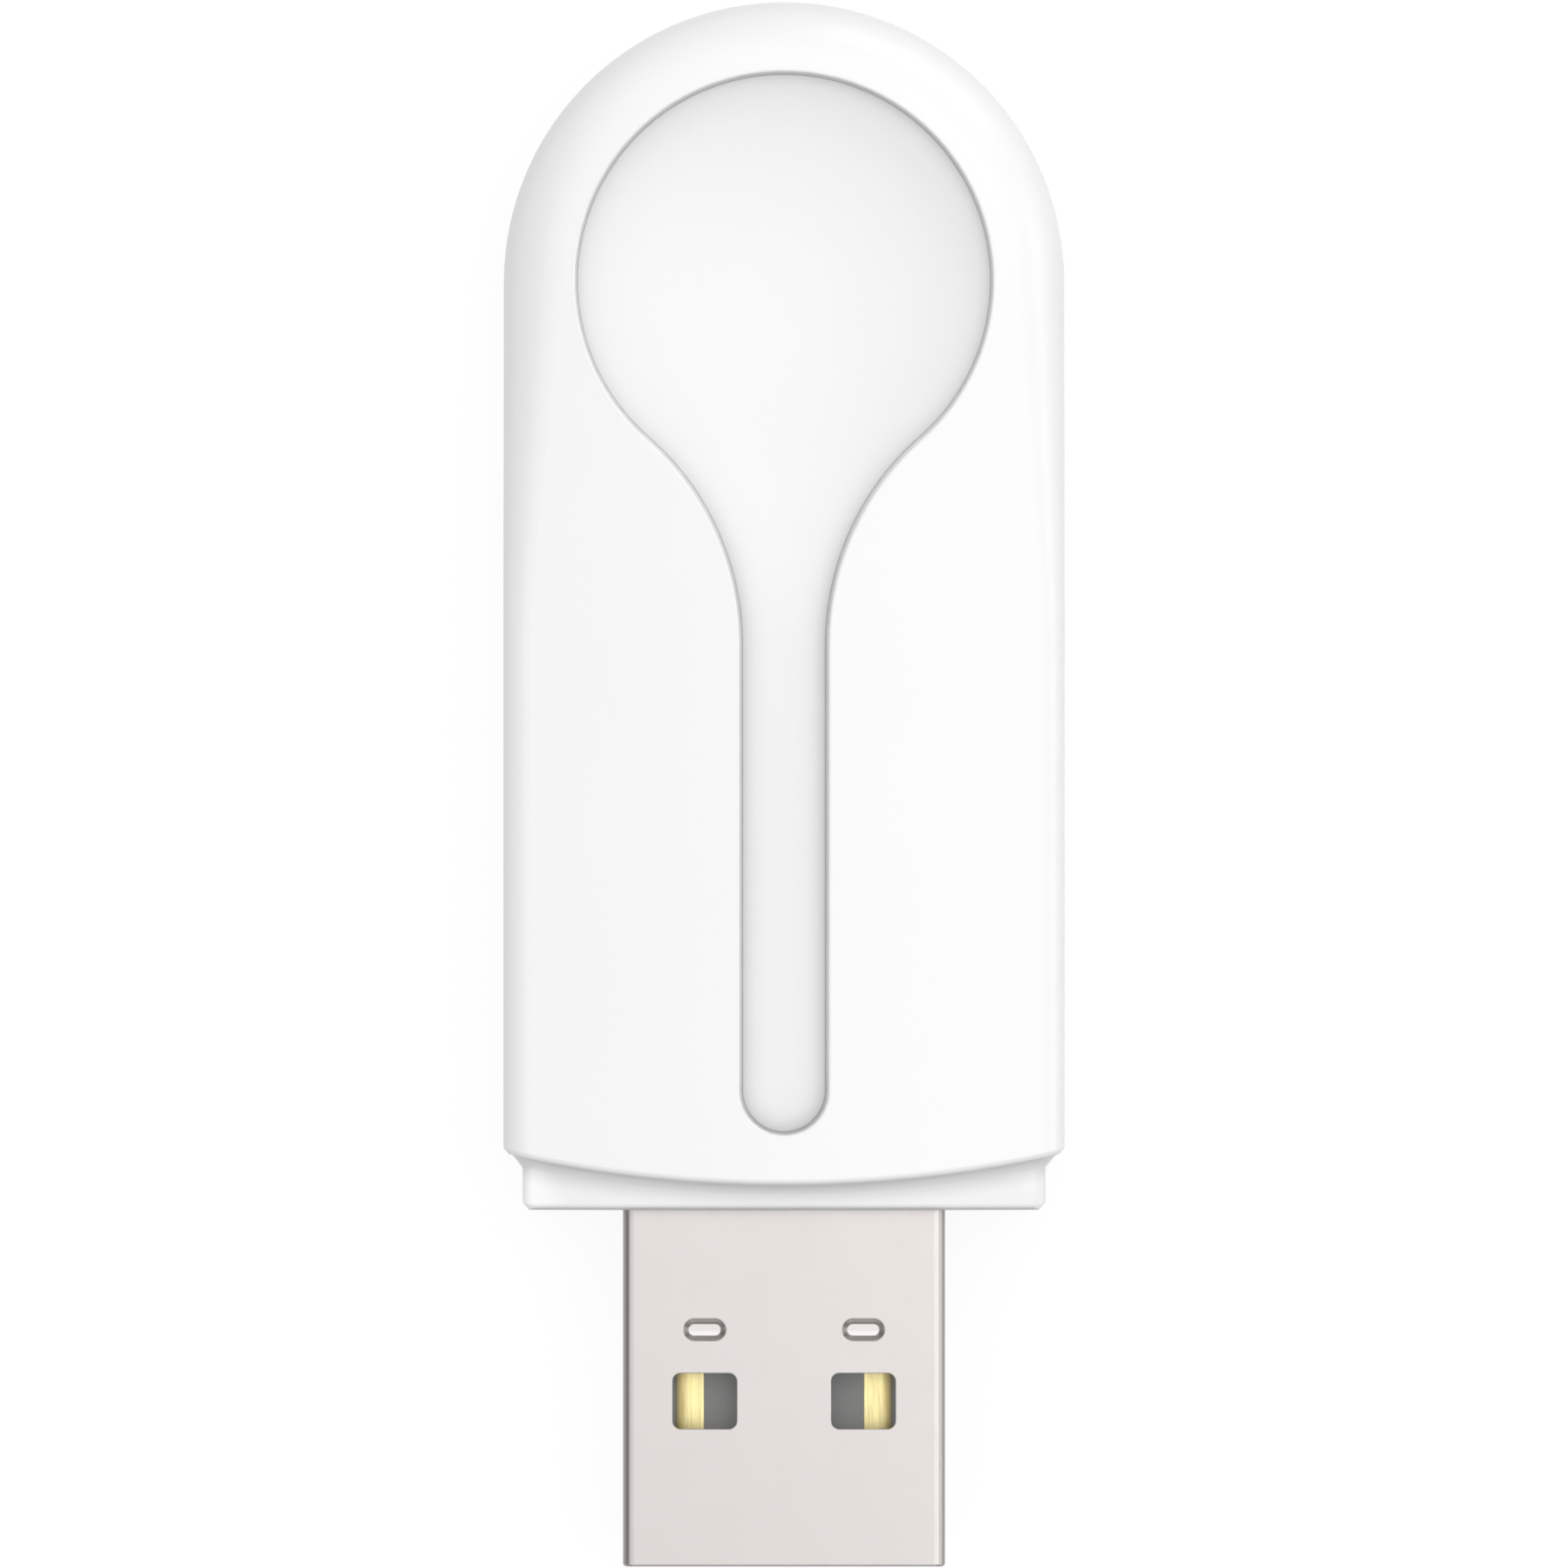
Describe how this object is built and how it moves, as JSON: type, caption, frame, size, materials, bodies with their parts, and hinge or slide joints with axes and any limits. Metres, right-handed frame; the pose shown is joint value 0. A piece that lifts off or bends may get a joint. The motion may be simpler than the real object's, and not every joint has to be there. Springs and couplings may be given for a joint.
{
  "type": "usb radio stick",
  "caption": "Round-ended white USB radio stick with a keyhole-shaped dished recess in its front, a narrower collar and a standard metal plug.",
  "frame": {"origin": "middle of the whole stick's outline, on the flat back that it lies on", "axes": "+X across the stick, +Y along it from the plug towards the round end, +Z out of the front face"},
  "size_m": [0.0208, 0.0582, 0.0088],
  "materials": {
    "white_plastic": "satin white moulded plastic",
    "plated_steel": "bright nickel plating on folded sheet",
    "grey_plastic": "dark grey moulded insulator",
    "gold_plating": "thin gold over nickel",
    "board_laminate": "green solder mask on glass laminate",
    "black_package": "black moulded package",
    "crystal_can": "metal lid on a ceramic tray",
    "capacitor_ceramic": "tan ceramic with tinned ends",
    "inductor_ceramic": "blue-grey ceramic with tinned ends",
    "solder": "bright solder"
  },
  "bodies": {
    "root": {"front_shell": "white_plastic", "rear_shell": "white_plastic", "plug_shell": "plated_steel", "plug_insulator": "grey_plastic", "contact_power": "gold_plating", "contact_data_minus": "gold_plating", "contact_data_plus": "gold_plating", "contact_ground": "gold_plating", "circuit_board": "board_laminate", "copper_pads": "gold_plating", "printed_antenna": "gold_plating", "radio_chip": "black_package", "crystal": "crystal_can", "voltage_regulator": "black_package", "surge_diode": "black_package", "input_capacitor": "capacitor_ceramic", "ferrite_bead": "black_package", "small_capacitors": "capacitor_ceramic", "resistors": "black_package", "matching_inductors": "inductor_ceramic", "solder_joints": "solder"}
  },
  "joints": []
}
